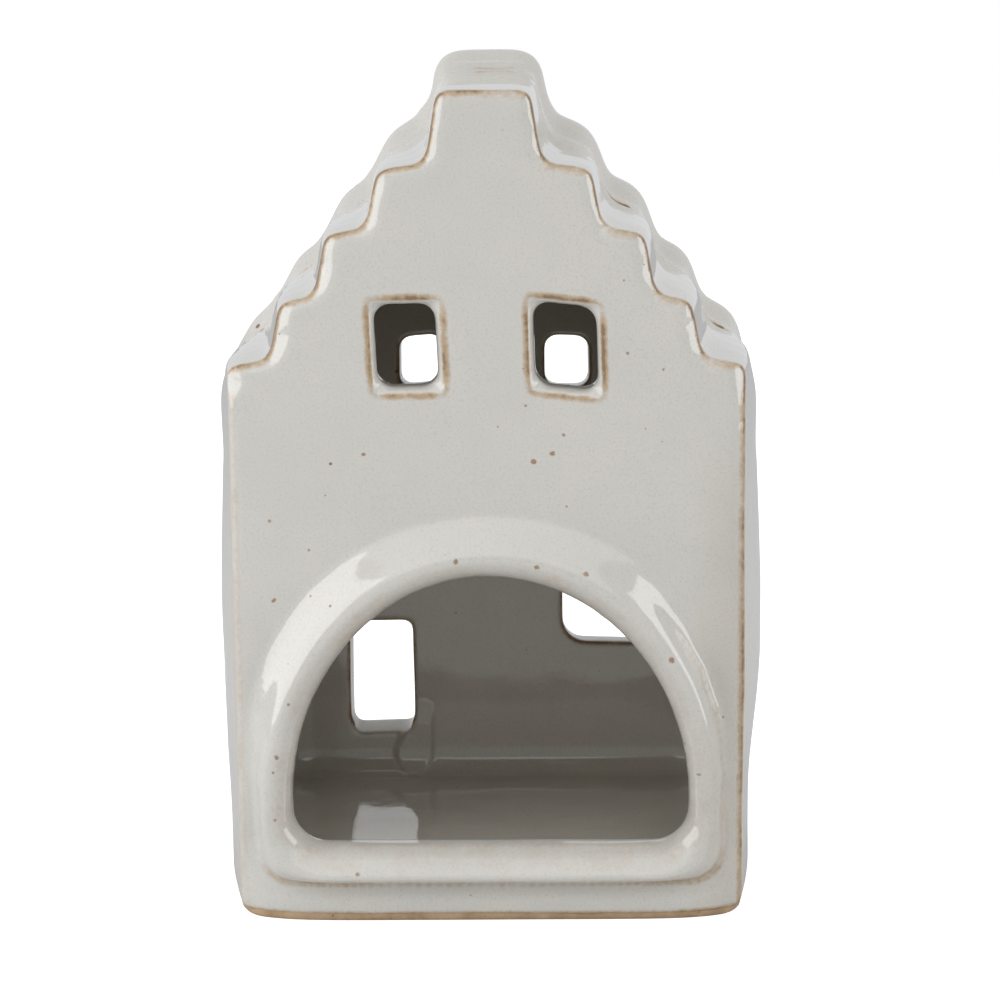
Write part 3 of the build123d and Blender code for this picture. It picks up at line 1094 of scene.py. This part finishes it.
def iron_spots(tree, place):
    """The larger spots on the front, with ragged edges: 1 inside a spot, 0 outside."""
    flat = add_node(tree, "ShaderNodeVectorMath", {"operation": "MULTIPLY"})
    wire(tree, place, flat.inputs[0])
    flat.inputs[1].default_value = (1, 0, 1)
    ragged = calculated(tree, "MULTIPLY", noise(tree, place, 1500, 2), 0.9 * MM)
    inside = None
    for across, height, radius in IRON_SPOTS:
        gap = add_node(tree, "ShaderNodeVectorMath", {"operation": "DISTANCE"})
        wire(tree, flat.outputs[0], gap.inputs[0])
        gap.inputs[1].default_value = (across, 0, height)
        depth = calculated(tree, "SUBTRACT", radius + 0.45 * MM, gap.outputs["Value"])
        inside = calculated(tree, "MAXIMUM", inside, depth) if inside else depth
    spot = rising(tree, calculated(tree, "SUBTRACT", inside, ragged), -0.05 * MM, 0.25 * MM)
    axes = add_node(tree, "ShaderNodeSeparateXYZ")
    wire(tree, place, axes.inputs[0])
    ahead = rising(tree, calculated(tree, "MULTIPLY", axes.outputs["Y"], -1.0), 20 * MM, 22 * MM)
    return calculated(tree, "MULTIPLY", spot, ahead)


def new_material(name):
    material = bpy.data.materials.new(name)
    material.use_nodes = True
    tree = material.node_tree
    shader = tree.nodes["Principled BSDF"]
    place = add_node(tree, "ShaderNodeTexCoord").outputs["Object"]
    return material, tree, shader, place


def glaze_material():
    """Glossy warm grey glaze: mottled, speckled, and worn to tan and brown where it runs thin, with
    painted shade in the creases, the chamber, the left wall and the right edge.
    """
    material, tree, shader, place = new_material("warm_grey_glaze")
    clouds = noise(tree, place, 60, 4, 0.6)
    grain = noise(tree, place, 2600, 3)
    colour = mixed(tree, rising(tree, clouds, 0.3, 0.7), GLAZE_COOL, GLAZE_WARM)
    colour = mixed(tree, rising(tree, grain, 0.45, 0.85), colour, GLAZE_GRAIN)

    # The thin-glaze mark also carries painted shade in the crease around the rim and in the roof
    # creases
    attribute = add_node(tree, "ShaderNodeAttribute", {"attribute_name": "thin_glaze_and_shade"})
    blotches = calculated(tree, "MULTIPLY", noise(tree, place, 150, 4, 0.65), 1.9)
    patches = calculated(tree, "ADD", blotches, 0.05)
    thin = calculated(tree, "MULTIPLY", attribute.outputs["Fac"], patches)
    tears = calculated(tree, "SUBTRACT", noise(tree, place, 1100, 3, 0.6), 0.5)
    tears = calculated(tree, "MULTIPLY", tears, 0.3)
    ragged = calculated(tree, "MULTIPLY", tears, rising(tree, thin, 0.05, 0.2))
    thin = calculated(tree, "ADD", thin, ragged)
    colour = mixed(tree, rising(tree, thin, 0.06, 0.20), colour, GLAZE_THIN)
    colour = mixed(tree, rising(tree, thin, 0.15, 0.30), colour, GLAZE_TAN)
    colour = mixed(tree, rising(tree, thin, 0.28, 0.42), colour, GLAZE_BROWN)

    colour = mixed(tree, specks(tree, place, 120, 0.08), colour, SPECK_BROWN)
    colour = mixed(tree, specks(tree, place, 300, 0.10), colour, SPECK_TAN)
    colour = mixed(tree, iron_spots(tree, place), colour, SPOT_BROWN)
    # Painted shade: the inside mark darkens and warms the chamber, the left wall and the front's right
    # edge
    inside = add_node(tree, "ShaderNodeAttribute", {"attribute_name": "inside"})
    colour = mixed(tree, inside.outputs["Fac"], colour, PAINTED_SHADE_TINT, "MULTIPLY")
    wire(tree, colour, shader.inputs["Base Color"])

    dull = rising(tree, thin, 0.14, 0.32)
    rough = calculated(tree, "ADD", calculated(tree, "MULTIPLY", dull, 0.22), 0.09)
    wire(tree, rough, shader.inputs["Roughness"])
    shader.inputs["IOR"].default_value = 1.45
    shader.inputs["Coat Weight"].default_value = 1.0
    shader.inputs["Coat Roughness"].default_value = 0.03
    shader.inputs["Coat IOR"].default_value = 1.45

    bump = add_node(tree, "ShaderNodeBump", Strength=0.25, Distance=0.3 * MM)
    wire(tree, noise(tree, place, 260, 3), bump.inputs["Height"])
    wire(tree, bump.outputs["Normal"], shader.inputs["Normal"])
    return material


def clay_material():
    """Matte tan stoneware, darker in its pores."""
    material, tree, shader, place = new_material("bare_tan_clay")
    pores = rising(tree, noise(tree, place, 300, 4, 0.6), 0.3, 0.75)
    colour = mixed(tree, pores, CLAY_TAN, CLAY_DARK)
    colour = mixed(tree, specks(tree, place, 700, 0.2), colour, SPECK_BROWN)
    wire(tree, colour, shader.inputs["Base Color"])
    shader.inputs["Roughness"].default_value = 0.85
    bump = add_node(tree, "ShaderNodeBump", Strength=0.5, Distance=0.2 * MM)
    wire(tree, noise(tree, place, 1400, 3), bump.inputs["Height"])
    wire(tree, bump.outputs["Normal"], shader.inputs["Normal"])
    return material


def set_stage():
    """White floor that keeps the shadow, white background and soft light from both sides."""
    scene = bpy.context.scene
    scene.view_settings.view_transform = "Standard"
    world = bpy.data.worlds.new("studio")
    scene.world = world
    world.use_nodes = True
    tree = world.node_tree
    tree.nodes.clear()
    path = add_node(tree, "ShaderNodeLightPath")
    dim = add_node(tree, "ShaderNodeBackground", Color=SKY, Strength=SKY_BEFORE)
    bright = add_node(tree, "ShaderNodeBackground", Color=SKY, Strength=SKY_BEHIND)
    around = add_node(tree, "ShaderNodeTexCoord")
    axes = add_node(tree, "ShaderNodeSeparateXYZ")
    wire(tree, around.outputs["Generated"], axes.inputs[0])
    light = add_node(tree, "ShaderNodeMixShader")
    wire(tree, rising(tree, axes.outputs["Y"], -0.1, 0.7), light.inputs[0])
    wire(tree, dim.outputs[0], light.inputs[1])
    wire(tree, bright.outputs[0], light.inputs[2])
    white = add_node(tree, "ShaderNodeBackground", Color=WHITE, Strength=1.0)
    mix = add_node(tree, "ShaderNodeMixShader")
    out = add_node(tree, "ShaderNodeOutputWorld")
    wire(tree, path.outputs["Is Camera Ray"], mix.inputs[0])
    wire(tree, light.outputs[0], mix.inputs[1])
    wire(tree, white.outputs[0], mix.inputs[2])
    wire(tree, mix.outputs[0], out.inputs["Surface"])

    bpy.ops.object.select_all(action="DESELECT")
    bpy.ops.mesh.primitive_plane_add(size=FLOOR_SIZE, location=(0, 0, 0))
    floor = bpy.context.object
    floor.name = "studio_floor"
    material = bpy.data.materials.new("studio_white")
    material.use_nodes = True
    tree = material.node_tree
    tree.nodes.clear()
    matte = add_node(tree, "ShaderNodeBsdfDiffuse", Color=FLOOR_GREY)
    glow = add_node(tree, "ShaderNodeEmission", Color=WHITE, Strength=FLOOR_GLOW)
    path = add_node(tree, "ShaderNodeLightPath")
    seen = add_node(tree, "ShaderNodeMixShader")
    nothing = add_node(tree, "ShaderNodeEmission", Color=(0, 0, 0, 1), Strength=0.0)
    both = add_node(tree, "ShaderNodeAddShader")
    out = add_node(tree, "ShaderNodeOutputMaterial")
    wire(tree, path.outputs["Is Camera Ray"], seen.inputs[0])
    wire(tree, nothing.outputs[0], seen.inputs[1])
    wire(tree, glow.outputs[0], seen.inputs[2])
    wire(tree, matte.outputs[0], both.inputs[0])
    wire(tree, seen.outputs[0], both.inputs[1])
    wire(tree, both.outputs[0], out.inputs["Surface"])
    floor.data.materials.append(material)

    for softbox in SOFTBOXES:
        add_softbox(*softbox)


glaze = glaze_material()
clay = clay_material()
for node, section in sections.items():
    section.data.materials.clear()
    section.data.materials.append(clay if node == "foot_ring" else glaze)
    only(section)
    bpy.ops.object.shade_smooth_by_angle(angle=radians(50))
    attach(section, "root")
    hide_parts(node)
aim_camera()
set_stage()
